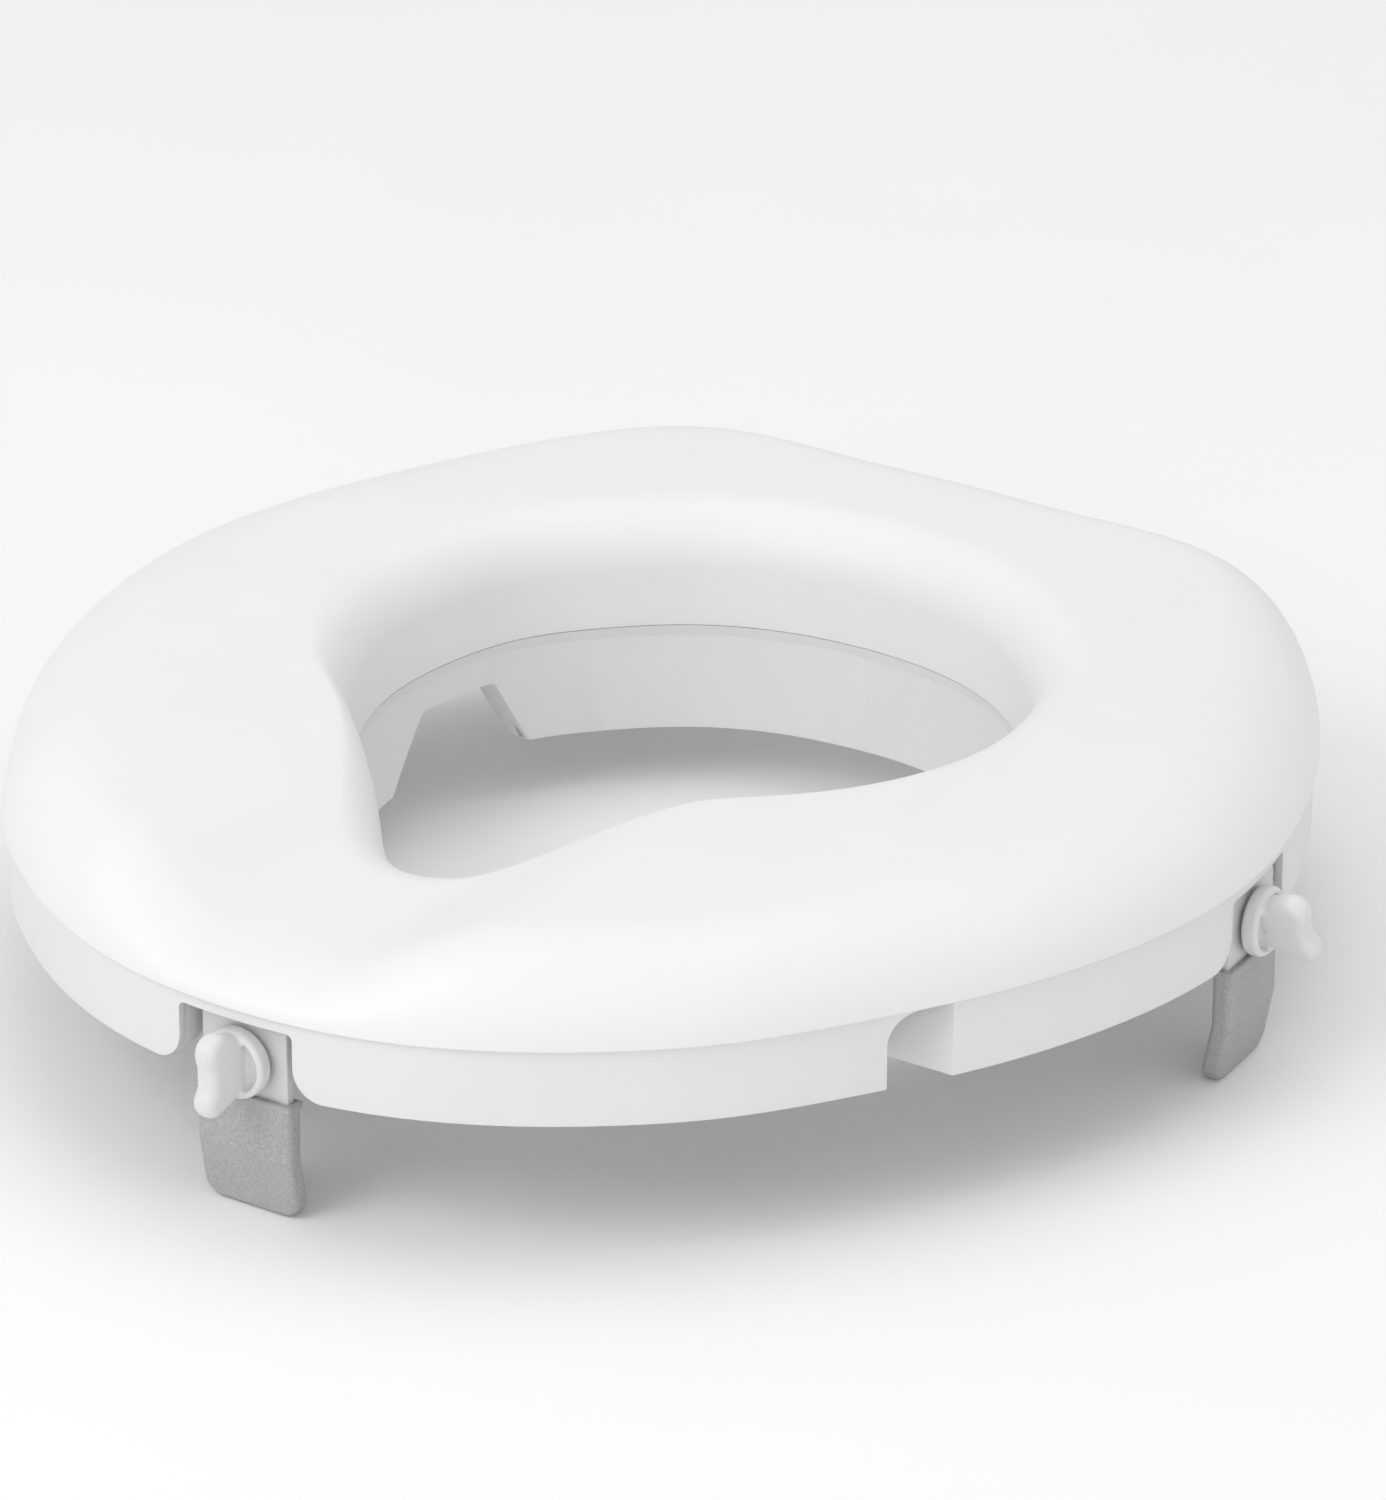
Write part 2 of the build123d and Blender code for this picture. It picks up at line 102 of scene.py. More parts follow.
# ---- the clamps, in each clamp's own frame (mm): out from the leg, along the rim, up ----
SIDE_TURN = radians(5)
CLAMPS = {
    "front": ((0, CENTRE_Y - 205, PARTING), (0, -1, 0), 0),
    "left": ((180, CENTRE_Y + 20, PARTING), (cos(SIDE_TURN), sin(SIDE_TURN), 0), 25),
    "right": ((-180, CENTRE_Y + 20, PARTING), (-cos(SIDE_TURN), sin(SIDE_TURN), 0), -40),
}
LEG = 3.0
LEAN_START, LEAN = -45.0, 0.178
SLEEVE_TOP, SLEEVE_BOTTOM = -28.0, -63.5
SLEEVE_WALL, SLEEVE_HALF = 1.5, 15.5
SLEEVE_CORNER, SLEEVE_EDGE, SLEEVE_BLEND, SLOT_BLEND = 5.5, 1.8, 0.5, 0.3
SLEEVE_RUN_ON = 2.0  # how far the outline runs on above the top before the top cuts it
BAND_MIDDLE, BAND_HALF = -29.0, 1.0  # the small raised band along the sleeve's top
BAND_SIDE, BAND_FACE = 0.2, 0.25
SLEEVE_LOW, SLEEVE_HIGH = (-9.4, -16.6, -64.8), (2.6, 16.6, -27.0)  # box of the sleeve's field
LEG_HALF, LEG_BOTTOM = 14.0, -60.0
SCREW_DROP = 17.4
SCREW_R, SCREW_START, SCREW_TIP = 2.95, -54.0, 9.0
THREAD_PITCH, THREAD_DEPTH, THREAD_CREST = 2.0, 0.55, 1.6
POINT_LENGTH, POINT_LOSS = 0.8, 0.7  # the stud's tapered inner end
KNOB_START, HUB_R, HUB_HEIGHT, HUB_EDGE = 0.95, 10.1, 5.3, 1.7
DISH_MARGIN, DISH_DEPTH, DISH_EDGE, DISH_REACH = 2.1, 2.4, 1.2, 6.0
WING_HALF, WING_EDGE = 3.5, 2.9
WING_ROOT, WING_INSET = 2.5, 2.2  # how deep in the hub, and how far inside it, the wing starts
LOBES = ((13.9, 7.2, 5.1), (15.5, -6.6, 4.5))  # out along the screw, up, radius
SADDLE_TOP = 18.0
WEB_HALF, WEB_CORNER = 6.5, 2.0
DISH_BLEND, WEB_BLEND, PADDLE_BLEND = 1.2, 1.5, 1.3
KNOB_LOW, KNOB_HIGH = (-0.5, -14.6, -14.6), (22.6, 14.6, 14.6)  # box of the knob's field
CORE_GAP = 0.02  # between the knob and the stud moulded into it

# ---- how finely the shapes are divided ----
SEAT_STEP, BEAD_STEP = 1.25, 1.5  # degrees from ring to ring
ROLL_POINTS, FLAT_POINTS, LIP_POINTS = 18, 14, 6
EDGE_STEPS, ARC_STEPS, CHEEK_STEPS = 4, 6, 8
FIELD_STEP = 0.4
STUD_SIDES, STUD_ROWS = 32, 10  # the rows are counted in one turn of the thread
HALVINGS = 30

# ---- angles (degrees) that tell an edge from a curve, and metres that count as no distance ----
SHADE_ANGLE, EDGE_ANGLE, CORNER_ANGLE = 32, 35, 50
FLAT_ANGLE = 0.6
SAME_PLACE = 0.000002


# ---------------------------------------------------------------- helpers
def periodic_spline(angles, values):
    """Cubic spline through values at angles (degrees), closed over 360 degrees."""
    x = np.array(list(angles) + [360.0])
    y = np.array(list(values) + [values[0]])
    h = np.diff(x)
    n = len(h)
    a = np.zeros((n, n))
    b = np.zeros(n)
    for i in range(n):
        left = (i - 1) % n
        a[i, left] += h[left]
        a[i, i] += 2 * (h[left] + h[i])
        a[i, (i + 1) % n] += h[i]
        b[i] = 6 * ((y[i + 1] - y[i]) / h[i] - (y[left + 1] - y[left]) / h[left])
    m = np.append(np.linalg.solve(a, b), 0)
    m[n] = m[0]

    def value(angle):
        t = np.mod(angle, 360.0)
        i = np.clip(np.searchsorted(x, t, side="right") - 1, 0, n - 1)
        p, q = x[i + 1] - t, t - x[i]
        return (
            m[i] * p**3 / (6 * h[i])
            + m[i + 1] * q**3 / (6 * h[i])
            + (y[i] / h[i] - m[i] * h[i] / 6) * p
            + (y[i + 1] / h[i] - m[i + 1] * h[i] / 6) * q
        )

    return value


def around(column):
    """The column's value at any bearing, mirrored from the right half to the left."""
    right = [(row[0], row[column]) for row in STATIONS]
    left = [(360 - b, v) for b, v in reversed(right[1:-1])]
    return periodic_spline(*zip(*(right + left)))


hole_at, rim_at = around(HOLE), around(RIM)
inner_roll_at, outer_roll_at = around(INNER_ROLL), around(OUTER_ROLL)


def link_object(name, data):
    obj = bpy.data.objects.new(name, data)
    bpy.context.collection.objects.link(obj)
    return obj


def shade_smooth(mesh):
    mesh.polygons.foreach_set("use_smooth", [True] * len(mesh.polygons))


def new_object(name, verts, faces, smooth=True):
    mesh = bpy.data.meshes.new(name)
    mesh.from_pydata([tuple(v) for v in verts], [], faces)
    mesh.validate()
    mesh.update()
    if smooth:
        shade_smooth(mesh)
    return link_object(name, mesh)


def object_from(bm, name):
    """A new object with the shape of a bmesh, which is freed."""
    mesh = bpy.data.meshes.new(name)
    bm.to_mesh(mesh)
    bm.free()
    return link_object(name, mesh)


def ring_mesh(name, rings):
    """A closed tube of quads: rings is an array (around, section, xyz) in millimetres."""
    n, m, _ = rings.shape
    verts = rings.reshape(-1, 3) * MM
    faces = []
    for i in range(n):
        k = (i + 1) % n
        for j in range(m):
            l = (j + 1) % m
            faces.append((i * m + j, k * m + j, k * m + l, i * m + l))
    obj = new_object(name, verts, faces)
    outward(obj)
    return obj


def outward(obj):
    """Makes the faces of a closed mesh look outwards."""
    bm = bmesh.new()
    bm.from_mesh(obj.data)
    bmesh.ops.recalc_face_normals(bm, faces=bm.faces)
    bm.to_mesh(obj.data)
    bm.free()


def at_bearing(bearing, section):
    """A section's points, radius and height over the parting plane, as places (mm)."""
    b = radians(bearing)
    radius, height = np.array(section).T
    return np.stack([radius * sin(b), CENTRE_Y + radius * cos(b), PARTING + height], 1)


def smooth_share(share):
    share = np.clip(share, 0.0, 1.0)
    return share * share * (3 - 2 * share)


# ---------------------------------------------------------------- materials
NOISE_LOW, NOISE_HIGH = 0.3, 0.7  # most of a noise texture's values lie between these


def node_material(name):
    material = bpy.data.materials.new(name)
    material.use_nodes = True
    tree = material.node_tree
    return material, tree, tree.nodes["Principled BSDF"]


def noise(tree, coords, scale, detail=3.0, rough=0.55):
    node = tree.nodes.new("ShaderNodeTexNoise")
    node.inputs["Scale"].default_value = scale
    node.inputs["Detail"].default_value = detail
    node.inputs["Roughness"].default_value = rough
    tree.links.new(coords, node.inputs["Vector"])
    return node.outputs["Fac"]


def ramp(tree, value, low, high, start=NOISE_LOW, end=NOISE_HIGH):
    node = tree.nodes.new("ShaderNodeValToRGB")
    node.color_ramp.elements[0].position = start
    node.color_ramp.elements[1].position = end
    node.color_ramp.elements[0].color = (*low, 1)
    node.color_ramp.elements[1].color = (*high, 1)
    tree.links.new(value, node.inputs["Fac"])
    return node.outputs["Color"]


def remap(tree, value, low, high):
    node = tree.nodes.new("ShaderNodeMapRange")
    node.inputs["From Min"].default_value = NOISE_LOW
    node.inputs["From Max"].default_value = NOISE_HIGH
    node.inputs["To Min"].default_value = low
    node.inputs["To Max"].default_value = high
    tree.links.new(value, node.inputs["Value"])
    return node.outputs["Result"]


def bump(tree, height, shader, strength, distance):
    node = tree.nodes.new("ShaderNodeBump")
    node.inputs["Strength"].default_value = strength
    node.inputs["Distance"].default_value = distance
    tree.links.new(height, node.inputs["Height"])
    tree.links.new(node.outputs["Normal"], shader.inputs["Normal"])


def plastic(name, colour, roughness, grain_scale=1400.0, grain=0.12, spread=0.012):
    """Moulded plastic: slow shifts of shade and gloss, and a fine moulded grain."""
    material, tree, shader = node_material(name)
    coords = tree.nodes.new("ShaderNodeTexCoord").outputs["Object"]
    dark = tuple(c * (1 - spread) for c in colour)
    light = tuple(min(c * (1 + spread), 1.0) for c in colour)
    tree.links.new(ramp(tree, noise(tree, coords, 14.0), dark, light), shader.inputs["Base Color"])
    gloss = noise(tree, coords, 55.0, detail=5.0)
    tree.links.new(
        remap(tree, gloss, roughness * 0.9, roughness * 1.12), shader.inputs["Roughness"]
    )
    shader.inputs["IOR"].default_value = 1.49
    bump(tree, noise(tree, coords, grain_scale, detail=2.0), shader, grain, 0.00004)
    return material


def rubber(name, dark, light, grain_scale=1700.0):
    """Moulded rubber with a fine speckle, matt."""
    material, tree, shader = node_material(name)
    coords = tree.nodes.new("ShaderNodeTexCoord").outputs["Object"]
    speckle = noise(tree, coords, grain_scale, detail=4.0, rough=0.7)
    tree.links.new(ramp(tree, speckle, dark, light, 0.38, 0.62), shader.inputs["Base Color"])
    tree.links.new(remap(tree, speckle, 0.55, 0.75), shader.inputs["Roughness"])
    bump(tree, speckle, shader, 0.35, 0.00012)
    return material


def coated_metal(name, colour, roughness):
    """Steel with a thin satin grey coat."""
    material, tree, shader = node_material(name)
    coords = tree.nodes.new("ShaderNodeTexCoord").outputs["Object"]
    patches = noise(tree, coords, 90.0, detail=6.0)
    dark = tuple(c * 0.95 for c in colour)
    tree.links.new(ramp(tree, patches, dark, colour), shader.inputs["Base Color"])
    tree.links.new(
        remap(tree, patches, roughness * 0.85, roughness * 1.2), shader.inputs["Roughness"]
    )
    shader.inputs["Metallic"].default_value = 0.25
    bump(tree, noise(tree, coords, 2600.0), shader, 0.15, 0.00003)
    return material


def zinc(name):
    """Bright zinc-plated steel with soft mottling."""
    material, tree, shader = node_material(name)
    coords = tree.nodes.new("ShaderNodeTexCoord").outputs["Object"]
    patches = noise(tree, coords, 420.0, detail=5.0)
    tree.links.new(
        ramp(tree, patches, (0.50, 0.50, 0.52), (0.70, 0.70, 0.71)), shader.inputs["Base Color"]
    )
    tree.links.new(remap(tree, patches, 0.22, 0.42), shader.inputs["Roughness"])
    shader.inputs["Metallic"].default_value = 1.0
    bump(tree, noise(tree, coords, 3000.0), shader, 0.1, 0.00002)
    return material


FINISHES = {
    "seat_plastic": plastic("seat_plastic", (0.82, 0.82, 0.818), 0.5),
    "base_plastic": plastic("base_plastic", (0.755, 0.755, 0.753), 0.5),
    "knob_plastic": plastic("knob_plastic", (0.72, 0.72, 0.718), 0.38),
    "block_plastic": plastic("block_plastic", (0.55, 0.55, 0.55), 0.5),
    "bracket_metal": coated_metal("bracket_metal", (0.66, 0.66, 0.665), 0.42),
    "sleeve_rubber": rubber("sleeve_rubber", (0.33, 0.33, 0.335), (0.46, 0.46, 0.465)),
    "buffer_rubber": rubber("buffer_rubber", (0.22, 0.22, 0.22), (0.30, 0.30, 0.30)),
    "fastener_steel": zinc("fastener_steel"),
}
SLOTS = {part["node"]: part["material_slot"] for part in frame["record"]["subparts"]}


def dress(obj, material):
    obj.data.materials.clear()
    obj.data.materials.append(material)


def dress_cad_nodes():
    """Gives every CAD node the material of its slot in the record."""
    for node, slot in SLOTS.items():
        for place in frame["nodes"][node].material_slots:
            place.material = FINISHES[slot]


# ---------------------------------------------------------------- the seat
def crest_share(bearing, radius):
    """What the front dip leaves of a height over the parting plane."""
    if not 90 < bearing < 270:
        return np.ones_like(radius)
    across = np.abs(radius * sin(radians(bearing)))
    return 1 - DIP_SHARE * (1 - smooth_share((across - DIP_INNER) / (DIP_OUTER - DIP_INNER)))


def seat_section(bearing):
    """The upper moulding's closed section at a bearing: radius and height over the parting."""
    hole, rim = float(hole_at(bearing)), float(rim_at(bearing))
    inner_roll, outer_roll = float(inner_roll_at(bearing)), float(outer_roll_at(bearing))
    turn = np.radians(np.linspace(0, 90, ROLL_POINTS))
    outer_r = rim - outer_roll * (1 - np.cos(turn))
    flat_r = np.linspace(rim - outer_roll, hole + inner_roll, FLAT_POINTS)[1:-1]
    inner_r = hole + inner_roll * (1 - np.cos(turn[::-1]))
    radius = np.concatenate([outer_r, flat_r, inner_r])
    rise = np.concatenate([np.sin(turn), np.ones(len(flat_r) + len(inner_r))])
    fall = np.concatenate([np.zeros(len(outer_r) + len(flat_r)), 1 - np.sin(turn[::-1])])
    share = crest_share(bearing, radius)
    height = CREST * rise * share - (INNER_DROP - DROP_LOSS * (1 - share)) * fall
    over = np.stack([radius, height], 1)
    slope = np.gradient(over, axis=0)
    slope /= np.linalg.norm(slope, axis=1)[:, None]
    under = over + WALL * np.stack([-slope[:, 1], slope[:, 0]], 1)
    under[0] = (rim - WALL, -HEM)
    under[-1] = (hole + WALL, over[-1, 1])
    lip = np.linspace(over[-1, 1], -LIP_DEPTH + SEAT_EDGE, LIP_POINTS)[1:-1]
    return np.concatenate(
        [
            over,
            np.stack([np.full_like(lip, hole), lip], 1),
            rounded_edge((hole, -LIP_DEPTH), (hole + WALL, -LIP_DEPTH), SEAT_EDGE),
            np.stack([np.full_like(lip, hole + WALL), lip[::-1]], 1),
            under[::-1][:-1],
            rounded_edge((rim - WALL, -HEM), (rim, -HEM), SEAT_EDGE),
        ]
    )


def rounded_edge(start, end, radius):
    """Points round the two lower corners of a wall, from start to end at one height."""
    low = start[1]
    way = 1 if end[0] > start[0] else -1
    quarter = [radians(90 * k / EDGE_STEPS) for k in range(EDGE_STEPS + 1)]
    points = []
    for a in quarter:
        points.append((start[0] + way * radius * (1 - cos(a)), low + radius * (1 - sin(a))))
    for a in reversed(quarter):
        points.append((end[0] - way * radius * (1 - cos(a)), low + radius * (1 - sin(a))))
    return np.array(points)


def build_seat():
    bearings = np.arange(0, 360, SEAT_STEP)
    seat = ring_mesh("seat", np.array([at_bearing(b, seat_section(b)) for b in bearings]))
    dress(seat, FINISHES["seat_plastic"])
    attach(seat, "seat")
    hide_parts("seat_shell")


# ---------------------------------------------------------------- pieces made from the CAD's shapes
def body_of(node):
    return frame["nodes"][node]["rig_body"]


def place_piece(obj, node):
    """The piece rides with its node's body, stands for it and takes its material."""
    dress(obj, FINISHES[SLOTS[node]])
    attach(obj, body_of(node))
    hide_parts(node)


def softened(node, width, segments=2):
    """A copy of a node's shape with every sharp edge rounded to width (mm)."""
    bm = bmesh.new()
    bm.from_mesh(frame["nodes"][node].data)
    bmesh.ops.remove_doubles(bm, verts=bm.verts, dist=SAME_PLACE)
    bmesh.ops.dissolve_limit(bm, angle_limit=radians(FLAT_ANGLE), verts=bm.verts, edges=bm.edges)
    joined = [e for e in bm.edges if len(e.link_faces) == 2]
    sharp = [e for e in joined if e.calc_face_angle() > radians(EDGE_ANGLE)]
    bmesh.ops.bevel(
        bm,
        geom=sharp,
        offset=width * MM,
        offset_type="OFFSET",
        segments=segments,
        profile=0.5,
        affect="EDGES",
        clamp_overlap=True,
    )
    obj = object_from(bm, node + "_shape")
    shade_smooth(obj.data)
    obj.data.set_sharp_from_angle(angle=radians(SHADE_ANGLE))
    place_piece(obj, node)
    return obj


# ---------------------------------------------------------------- soft shapes from distance fields
def surface_net(name, field, low, to_world):
    """The smooth skin of a field's zero level: field is negative inside, on the grid from low."""
    inside = field < 0
    corners = [(i, j, k) for i in (0, 1) for j in (0, 1) for k in (0, 1)]
    shape = tuple(s - 1 for s in field.shape)

    def at(values, c):
        return values[c[0] : c[0] + shape[0], c[1] : c[1] + shape[1], c[2] : c[2] + shape[2]]

    total, count = np.zeros(shape + (3,)), np.zeros(shape)
    for a in corners:
        for axis in range(3):
            if a[axis]:
                continue
            b = tuple(1 if n == axis else a[n] for n in range(3))
            fa, fb = at(field, a), at(field, b)
            cross = at(inside, a) != at(inside, b)
            t = np.where(cross, fa / np.where(cross, fa - fb, 1), 0)
            for n in range(3):
                total[..., n] += np.where(cross, a[n] + (t if n == axis else 0), 0)
            count += cross
    used = count > 0
    number = np.full(shape, -1)
    number[used] = np.arange(used.sum())
    cells = np.argwhere(used)
    points = np.array(low) + FIELD_STEP * (cells + total[used] / count[used][:, None])
    faces = []
    for axis in range(3):
        p, q = (axis + 1) % 3, (axis + 2) % 3
        ahead = np.roll(inside, -1, axis)
        change = np.argwhere(inside != ahead)
        keep = (change[:, p] > 0) & (change[:, q] > 0)
        for n in range(3):
            keep &= change[:, n] < shape[n]
        for c in change[keep]:
            around_edge = []
            for dp, dq in ((-1, -1), (0, -1), (0, 0), (-1, 0)):
                cell = c.copy()
                cell[p] += dp
                cell[q] += dq
                around_edge.append(int(number[tuple(cell)]))
            faces.append(around_edge if inside[tuple(c)] else around_edge[::-1])
    obj = new_object(name, [to_world(Vector(point)) * MM for point in points], faces)
    outward(obj)
    return obj


def grid(low, high):
    axes = [np.arange(a, b + FIELD_STEP, FIELD_STEP) for a, b in zip(low, high)]
    return np.meshgrid(*axes, indexing="ij")


def blend_union(a, b, soft):
    h = np.clip(0.5 + 0.5 * (b - a) / soft, 0, 1)
    return b + (a - b) * h - soft * h * (1 - h)


def blend_cut(a, b, soft):
    return -blend_union(-a, b, soft)


def rounded_both(a, b, edge):
    """Where two fields are both negative, with their common edge rounded."""
    a, b = a + edge, b + edge
    return np.hypot(np.maximum(a, 0), np.maximum(b, 0)) + np.minimum(np.maximum(a, b), 0) - edge


def box_distance(x, y, half_x, half_y):
    dx, dy = np.abs(x) - half_x, np.abs(y) - half_y
    return np.hypot(np.maximum(dx, 0), np.maximum(dy, 0)) + np.minimum(np.maximum(dx, dy), 0)


def capsule(x, y, start, end, radius):
    ex, ey = end[0] - start[0], end[1] - start[1]
    t = np.clip(((x - start[0]) * ex + (y - start[1]) * ey) / (ex * ex + ey * ey), 0, 1)
    return np.hypot(x - start[0] - t * ex, y - start[1] - t * ey) - radius


def disc(u, r, start, end, radius, edge):
    """A round disc from start to end along u, with rounded edges."""
    middle, half = (start + end) / 2, (end - start) / 2
    return box_distance(r, u - middle, radius - edge, half - edge) - edge


def clamp_to_world(name, drop=0.0):
    foot, out, _ = CLAMPS[name]
    out = Vector(out)
    along = Vector((-out.y, out.x, 0))
    origin = Vector(foot) - Vector((0, 0, drop))
    return lambda p: origin + out * p.x + along * p.y + Vector((0, 0, p.z))


def build_knob(name):
    """A round hub with a dished face, and a thick two-lobed paddle that grows out of it."""
    turn = radians(CLAMPS[name][2])
    u, v, w = grid(KNOB_LOW, KNOB_HIGH)
    up = w * cos(turn) - v * sin(turn)
    side = v * cos(turn) + w * sin(turn)
    r = np.hypot(up, side)
    face = KNOB_START + HUB_HEIGHT
    hub = disc(u, r, KNOB_START, face, HUB_R, HUB_EDGE)
    dish = disc(u, r, face - DISH_DEPTH, face + DISH_REACH, HUB_R - DISH_MARGIN, DISH_EDGE)
    hub = blend_cut(hub, dish, DISH_BLEND)
    upper, lower = LOBES
    root = KNOB_START + WING_ROOT
    upper_root = (root, HUB_R - WING_INSET - upper[2])
    lower_root = (root, lower[2] + WING_INSET - HUB_R)
    wing = capsule(u, up, upper_root, upper[:2], upper[2])
    wing = np.minimum(wing, capsule(u, up, lower_root, lower[:2], lower[2]))
    middle = (root + SADDLE_TOP) / 2
    web_length = SADDLE_TOP - middle - WEB_CORNER
    web = box_distance(u - middle, up, web_length, WEB_HALF - WEB_CORNER) - WEB_CORNER
    wing = blend_union(wing, web, WEB_BLEND)
    paddle = rounded_both(wing, np.abs(side) - WING_HALF, WING_EDGE)
    knob = blend_union(hub, paddle, PADDLE_BLEND)
    knob = np.maximum(knob, np.where(u < SCREW_TIP, SCREW_R + CORE_GAP - r, -1))
    obj = surface_net(f"knob_{name}_shape", knob, KNOB_LOW, clamp_to_world(name, SCREW_DROP))
    place_piece(obj, f"knob_{name}")


def build_sleeve(name):
    """The rubber boot on the leg's end: round corners, a raised band on top, open above."""
    u, v, w = grid(SLEEVE_LOW, SLEEVE_HIGH)
    u_leg = u + LEAN * np.maximum(LEAN_START - w, 0)
    middle_w, half_w = (SLEEVE_TOP + SLEEVE_BOTTOM) / 2, (SLEEVE_TOP - SLEEVE_BOTTOM) / 2
    half_height = half_w - SLEEVE_CORNER + SLEEVE_RUN_ON
    across = SLEEVE_HALF - SLEEVE_CORNER
    plate = box_distance(v, w - middle_w - SLEEVE_RUN_ON, across, half_height) - SLEEVE_CORNER
    plate = np.maximum(plate, w - SLEEVE_TOP)
    thick = np.abs(u_leg + LEG / 2) - LEG / 2 - SLEEVE_WALL
    outer = rounded_both(plate, thick, SLEEVE_EDGE)
    band = np.maximum(np.abs(v) - SLEEVE_HALF - BAND_SIDE, thick - BAND_FACE)
    band = np.maximum(band, np.abs(w - BAND_MIDDLE) - BAND_HALF)
    boot = blend_union(outer, band, SLEEVE_BLEND)
    slot = np.maximum(np.abs(v) - LEG_HALF, np.abs(u_leg + LEG / 2) - LEG / 2)
    slot = np.maximum(slot, LEG_BOTTOM - w)
    boot = blend_cut(boot, slot, SLOT_BLEND)
    obj = surface_net(f"sleeve_{name}_shape", boot, SLEEVE_LOW, clamp_to_world(name))
    place_piece(obj, f"sleeve_{name}")


def build_stud(name):
    """The stud with its rolled thread, two millimetres a turn, and a point at the inner end."""
    to_world = clamp_to_world(name, SCREW_DROP)
    step = THREAD_PITCH / STUD_ROWS
    rows = int((SCREW_TIP - SCREW_START) / step)
    verts, faces = [], []
    for i in range(rows + 1):
        u = SCREW_START + i * step
        taper = min((u - SCREW_START) / POINT_LENGTH, 1)
        for j in range(STUD_SIDES):
            a = 2 * pi * j / STUD_SIDES
            wave = 0.5 + 0.5 * cos(2 * pi * u / THREAD_PITCH - a)
            crest = min(wave * THREAD_CREST, 1)
            r = SCREW_R - THREAD_DEPTH * (1 - crest) - POINT_LOSS * (1 - taper)
            verts.append(to_world(Vector((u, r * cos(a), r * sin(a)))) * MM)
    for i in range(rows):
        for j in range(STUD_SIDES):
            k = (j + 1) % STUD_SIDES
            p, q = i * STUD_SIDES, (i + 1) * STUD_SIDES
            faces.append((p + j, p + k, q + k, q + j))
    faces.append(tuple(range(STUD_SIDES)))
    faces.append(tuple(rows * STUD_SIDES + j for j in range(STUD_SIDES))[::-1])
    obj = new_object(f"stud_{name}_shape", verts, faces)
    outward(obj)
    obj.data.set_sharp_from_angle(angle=radians(CORNER_ANGLE))
    place_piece(obj, f"clamp_screw_{name}")


def add_mesh(obj, extra):
    """Makes the extra object's mesh part of obj."""
    bm = bmesh.new()
    bm.from_mesh(obj.data)
    bm.from_mesh(extra.data)
    bm.to_mesh(obj.data)
    bm.free()
    bpy.data.objects.remove(extra)
    shade_smooth(obj.data)
    obj.data.set_sharp_from_angle(angle=radians(SHADE_ANGLE))


def guard_bead():
    """The bead at the top of the splash guard, which closes the step under the seat's lip."""
    top, foot = -LIP_DEPTH - BEAD_GAP, -LIP_DEPTH - BEAD_DEPTH
    rings = []
    for bearing in np.arange(0, 360, BEAD_STEP):
        hole = float(hole_at(bearing))
        back = hole + BEAD_BACK
        section = [(hole + BEAD_FACE, top), (hole + BEAD_FOOT, foot), (back, top - BEAD_LAP), (back, top)]
        rings.append(at_bearing(bearing, section))
    return ring_mesh("guard_bead", np.array(rings))


def arc_at(before, here, after, radius):
    """Points of the arc that rounds the corner at here."""
    before, here, after = Vector(before), Vector(here), Vector(after)
    to_before, to_after = (before - here).normalized(), (after - here).normalized()
    half = to_before.angle(to_after) / 2
    centre = here + (to_before + to_after).normalized() * radius / sin(half)
    reach = radius * cos(half) / sin(half)
    first, last = here + to_before * reach - centre, here + to_after * reach - centre
    points = []
    for k in range(ARC_STEPS + 1):
        t = k / ARC_STEPS
        points.append(tuple(centre + (first * (1 - t) + last * t).normalized() * radius))
    return points


def return_wall(name, path, thickness, starts, depth, to_world):
    """A wall that runs back from an edge: path is (across, up), and the wall is on its left."""
    bm = bmesh.new()
    rows = []
    for i, point in enumerate(path):
        before, after = path[max(i - 1, 0)], path[min(i + 1, len(path) - 1)]
        run = Vector((after[0] - before[0], after[1] - before[1])).normalized()
        left = Vector(point) + Vector((-run.y, run.x)) * thickness
        row = []
        for (across, up), d in ((point, 0), (point, depth), (left, depth), (left, 0)):
            row.append(bm.verts.new(to_world(Vector((starts[i] - d, across, up))) * MM))
        rows.append(row)
    for one, two in zip(rows, rows[1:]):
        for j in range(4):
            k = (j + 1) % 4
            bm.faces.new((one[j], one[k], two[k], two[j]))
    bm.faces.new(rows[0])
    bm.faces.new(rows[-1][::-1])
    bmesh.ops.recalc_face_normals(bm, faces=bm.faces)
    sharp = [e for e in bm.edges if e.calc_face_angle() > radians(CORNER_ANGLE)]
    bmesh.ops.bevel(
        bm, geom=sharp, offset=RETURN_EDGE * MM, segments=2, profile=0.5, affect="EDGES"
    )
    return object_from(bm, name)


def notch_cheeks():
    """Walls that run inwards from both sides of each notch in the skirt."""
    made = []
    for name in CLAMPS:
        to_world = clamp_to_world(name)
        for side in (1, -1):
            top = CHEEK_LAP - DECK_UNDER
            path = [(NOTCH_HALF, top), (NOTCH_HALF, NOTCH_CORNER - SKIRT_BOTTOM)]
            for k in range(1, CHEEK_STEPS + 1):
                a = radians(90 * k / CHEEK_STEPS)
                across = NOTCH_HALF + NOTCH_CORNER * (1 - cos(a))
                path.append((across, NOTCH_CORNER * (1 - sin(a)) - SKIRT_BOTTOM))
            path = [(side * across, up) for across, up in path]
            if side < 0:
                path.reverse()
            starts = [CHEEK_START[name]] * len(path)
            label = f"cheek_{name}_{side}"
            made.append(return_wall(label, path, CHEEK_WALL, starts, CHEEK_DEPTH, to_world))
    return made


